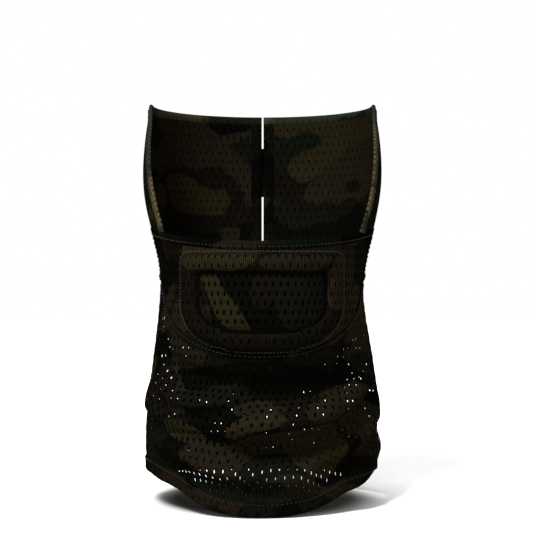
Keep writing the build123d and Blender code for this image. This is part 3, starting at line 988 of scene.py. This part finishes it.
def tufts(name, path, depth, height, pitch, radius, material):
    """Rows of tiny blunt spikes on a tape: its hooks, or its loop pile."""
    us = np.arange(path[0, 0] + pitch, path[-1, 0] - pitch / 2, pitch)
    vs = np.arange(tape_low + pitch, tape_high - pitch / 2, pitch * 0.9)
    u, v = (g.ravel() for g in np.meshgrid(us, vs))
    u = u + rng.uniform(-0.3, 0.3, len(u)) * pitch
    v = v + rng.uniform(-0.3, 0.3, len(v)) * pitch
    rings, spokes = ((0.0, 1.0), (0.7, 0.9), (1.0, 0.35)), 5  # share of the height, and of the radius
    points = []
    for share, size in rings:
        for s in range(spokes):
            angle, reach = 2 * math.pi * s / spokes, radius * size
            points.append(
                plain.point(u + reach * math.cos(angle), v + reach * math.sin(angle), depth + height * share)
            )
    spike = skin(len(rings), spokes)
    faces = [[len(points) * t + k for k in face] for t in range(len(u)) for face in spike]
    return new_object(name, np.stack(points, 1).reshape(-1, 3), faces, material)


loop_tufts = tufts("loop_tape_tufts", loop_path, loop_out - 0.1, 0.35, 1.25, 0.42, loop_pile)
hook_tufts = tufts("hook_tape_hooks", hook_path, hook_in + 0.1, -0.35, 1.5, 0.32, hook_nylon)


def back_box(x0, x1, z0, z1):
    """A closed rectangle across the back."""
    return np.vstack([back_path(x0, x1, z0), back_path(x1, x0, z1)])


box_x, box_z = (ANCHOR_END - BOX_IN, STRAP_ROOT + BOX_IN), (STRAP_LOW + BOX_IN, STRAP_HIGH - BOX_IN)
cross = [
    np.linspace(back_path(box_x[0], 30, z0)[0], back_path(box_x[1], 0, z1)[0], 30)
    for z0, z1 in (box_z, box_z[::-1])
]
box_rows = [back_box(*box_x, *box_z), *cross]
strap_stitching = stitches("strap_box_thread", plain, box_rows, 2 * DOUBLE + 0.05, thread)
tape_row = back_box(HOOK_SPAN[0] - TAPE_IN, HOOK_SPAN[1] + TAPE_IN, tape_low + TAPE_IN, tape_high - TAPE_IN)
hook_thread = stitches("hook_tape_thread", plain, [tape_row], hook_out + DOUBLE + 0.1, thread)

# ---- drape
seam_top = np.vstack([lower_line[::-1], moved(nape_line, SEAM)[1:]])
drape = Drape(seam_top)
hem_u, hem_z = hem_line[::-1].T


def hem_height(u):
    """Height of the drape's lower edge."""
    u = np.abs(wrapped(u))
    lift, place, spread = HEM_LIFT
    rise = lift * np.exp(-(((u - place) / spread) ** 2)) - HEM_DROP * np.clip((u - 110) / 60, 0, 1)
    return np.interp(u, hem_u, hem_z) + rise


def side_seam_u(z):
    return u_at_side(np.full_like(z, SIDE_SEAM_Y), z)


def drape_region(front):
    """The drape's cloth in front of its side seams, or behind them."""
    reach = OVERLAP - SEAM / 2
    z = np.linspace(-56, -176, 50)
    u_side = side_seam_u(z) + (reach if front else -reach)
    left = np.stack([u_side, drape.flat_v(u_side, z)], -1)
    turn = 0 if front else 2 * HALF_ROUND  # the right side's u is this less the left's
    right = mirrored(left) + (turn, 0)
    u = np.linspace(turn - u_side[0], u_side[0], 200 if front else 240)
    low_u = np.linspace(u_side[-1], turn - u_side[-1], 160 if front else 200)
    top = np.stack([u, drape.seam_height(u) + OVERLAP], -1)
    low = np.stack([low_u, drape.flat_v(low_u, hem_height(low_u) + DRAPE_HEM - OVERLAP)], -1)
    return np.vstack([top, left[1:-1], low, right[1:-1]])


def hem_path(rise):
    """A line round the drape, from the back centre all the way back to it."""
    u = np.linspace(-HALF_ROUND, HALF_ROUND, 420)
    return np.stack([u, drape.flat_v(u, hem_height(u) + rise)], -1)


def pulled_open(middle_size):
    """Eyelet sizes of a drape: wide beside its side seams, above the neck's folds, and slim above its hem."""

    def opening(centre):
        beside = np.clip(1.7 - np.abs(np.abs(wrapped(centre[:, 0])) - 148) / 34, 0, 1)
        z = drape.point(centre[:, 0], centre[:, 1], 0)[:, 2] / MM
        above = np.clip((z + 160) / 30, 0, 1)
        slim = np.clip((z + 198) / 5, 0, 1) * np.clip((-160 - z) / 10, 0, 1)
        size = between(middle_size, SIDE_SIZE, beside * above)
        return np.stack([size * (1 - 0.5 * slim), size * (1 - 0.25 * slim)], -1)

    return opening


front, back = drape_region(True), drape_region(False)
drape_front = eyelet_cloth("drape_front_mesh", drape, front, SINGLE, drape_cloth, opening=pulled_open(1.0))
drape_back = eyelet_cloth("drape_back_mesh", drape, back, SINGLE, back_cloth, opening=pulled_open(0.5))
drape_hem = strip("drape_hem_fold", drape, hem_path(DRAPE_HEM / 2), DRAPE_HEM, 0, HEM, hem_cloth, upright=True)
hem_stitching = stitches("drape_hem_thread", drape, [hem_path(DRAPE_ROW)], ON_HEM, dark_thread)


def down_path(u_of_z, top):
    """A line down the drape to just under its hem."""
    low = hem_height(u_of_z(np.array([-180.0])))[0] + DRAPE_HEM - OVERLAP
    z = np.linspace(top, low, 60)
    u = u_of_z(z)
    return np.stack([u, drape.flat_v(u, z)], -1)


left_seam_path = down_path(side_seam_u, -56)
left_side_seam, right_side_seam = (
    strip(f"{side}_side_seam_fold", drape, left_seam_path * (sign, 1), SEAM, 0, HEM, hem_cloth)
    for side, sign in (("left", 1), ("right", -1))
)
back_seam_path = down_path(lambda z: np.full_like(z, HALF_ROUND - 0.01), -34)
back_seam = strip("back_seam_fold", drape, back_seam_path, BACK_SEAM, 0, HEM, hem_cloth)


# ---- what the other pieces stand for
stand({
    "face_panel": [face_panel], "window_mesh": [window_mesh], "drape_front": [drape_front],
    "drape_back": [drape_back],
})
stand({"face_liner": [face_liner]})
stand({"frame_cover": [frame_cover, frame_binding_and_shade_line]})
stand({"foam_frame": [foam_frame]})
stand({
    "nose_hem": [nose_hem], "panel_seam": [panel_seam], "nape_seam": [nape_seam], "drape_hem": [drape_hem],
    "left_side_seam": [left_side_seam], "right_side_seam": [right_side_seam], "back_seam": [back_seam],
})
stand({
    "nose_stitching": [nose_stitching], "frame_stitching": [frame_stitching],
    "hem_stitching": [hem_stitching], "strap_stitching": [strap_stitching], "": [seam_thread, nape_thread],
})
stand({"loop_tape": [loop_tape, loop_tufts]})
stand({"hook_tape": [hook_tape, hook_tufts]}, body="strap")
stand({"": [hook_thread]}, body="strap")
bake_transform(strap)
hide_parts("strap_anchor", "closure_strap")


# ---- studio
def area_light(name, place, size, power, aim):
    light = bpy.data.objects.new(name, bpy.data.lights.new(name, "AREA"))
    light.data.size, light.data.energy = size, power
    light.location = place
    light.rotation_euler = (light.location - aim).to_track_quat("Z", "Y").to_euler()
    bpy.context.scene.collection.objects.link(light)


def studio():
    """Camera, lights, pale floor with a patch of painted shadow under the mask, and white surroundings."""
    scene = bpy.context.scene
    camera = bpy.data.objects.new("camera", bpy.data.cameras.new("camera"))
    scene.collection.objects.link(camera)
    scene.camera = camera
    camera.data.sensor_width, camera.data.lens = 36, 112.5
    camera.location = (0.003, -1.2, -0.044)
    camera.rotation_euler = (math.pi / 2, 0, 0)
    camera.data.clip_start = 0.05
    scene.world = bpy.data.worlds.new("studio")
    scene.world.use_nodes = True
    background = scene.world.node_tree.nodes["Background"]
    background.inputs["Color"].default_value = (1, 1, 1, 1)
    background.inputs["Strength"].default_value = 1.0
    aim = (cad_low + cad_high) / 2
    area_light("key", (-0.45, -1.0, 1.0), 0.4, 84, aim)
    area_light("fill", (1.1, -0.5, 0.4), 0.9, 9, aim)
    area_light("back", (-0.3, 1.2, 0.5), 0.9, 11, aim)
    bpy.ops.mesh.primitive_plane_add(size=8, location=(0, 0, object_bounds()[0][2] - 0.0006))
    floor = bpy.context.object
    floor.name = "floor"
    paint = Nodes("floor_paint")
    place = paint.object_place()
    away = paint.vector("LENGTH", place)
    glow = paint.math("MULTIPLY", paint.step(away, 0.25, 0.9), 0.6)
    paint.value(glow, paint.shader.inputs["Emission Strength"])
    paint.shader.inputs["Emission Color"].default_value = (1, 1, 1, 1)
    # Painted shadow: the floor's colour turns dark in an ellipse under the mask's footprint, and pale outside
    # it.
    under = paint.vector("SUBTRACT", place, (0, 0.012, 0))
    under = paint.vector("LENGTH", paint.vector("MULTIPLY", under, (1 / 0.080, 1 / 0.104, 0)))
    pale = paint.mix(paint.step(under, 0.75, 1.25), (0.04, 0.037, 0.033, 1), (0.66, 0.66, 0.66, 1))
    floor.data.materials.append(paint.finish(pale, 0.9, specular=0.0))
    floor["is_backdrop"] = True
    scene.view_settings.view_transform = "Standard"


studio()
